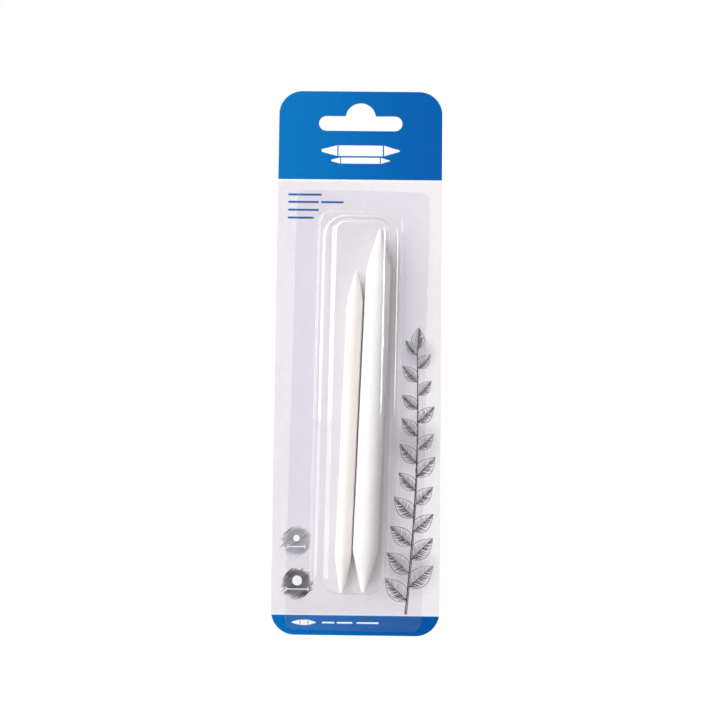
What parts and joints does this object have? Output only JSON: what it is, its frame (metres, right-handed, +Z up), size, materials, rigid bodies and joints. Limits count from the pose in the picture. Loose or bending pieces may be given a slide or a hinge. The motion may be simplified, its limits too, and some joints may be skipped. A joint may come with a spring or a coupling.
{
  "type": "carded blending stumps",
  "caption": "Thin and thick double-pointed paper blending stumps for charcoal and pastel, in a clear blister on a card with a hang slot.",
  "frame": {"origin": "middle of the hang slot's arch, on the card's back face", "axes": "+Z up the card towards the hang slot, -Y out of the printed front, +X to the right seen from the front"},
  "size_m": [0.07, 0.013, 0.2305],
  "materials": {
    "board": "white coated board",
    "header_ink": "smooth blue ink with a light varnish",
    "field_ink": "smooth pale grey-lavender ink with a light varnish",
    "footer_ink": "smooth blue ink with a light varnish",
    "lacquer": "clear heat-seal lacquer",
    "clear_sheet": "clear glossy thermoformed sheet",
    "soft_paper": "soft matt rolled paper",
    "core_paper": "tightly rolled matt paper",
    "wrap_paper": "smooth matt white paper"
  },
  "bodies": {
    "card": {"backing_card": "board", "header_print": "header_ink", "field_print": "field_ink", "footer_print": "footer_ink", "seal_coat": "lacquer"},
    "blister": {"blister": "clear_sheet"},
    "thin_stump": {"thin_core": "core_paper", "thin_winding": "soft_paper", "thin_wrap": "wrap_paper"},
    "thick_stump": {"thick_core": "core_paper", "thick_winding": "soft_paper", "thick_wrap": "wrap_paper"}
  },
  "joints": [
    {"name": "blister_peel", "type": "hinge", "parent": "card", "child": "blister", "pos_m": [0.00135, -0.00088, -0.03185], "axis": [-0.9999, 0, 0.0122], "range_deg": [0, 105]},
    {"name": "thin_stump_slide", "type": "slide", "parent": "card", "child": "thin_stump", "axis": [0.0349, 0, 0.9994], "range_m": [0, 0.02]},
    {"name": "thick_stump_slide", "type": "slide", "parent": "card", "child": "thick_stump", "axis": [0.0366, 0, 0.9993], "range_m": [0, 0.003]}
  ]
}
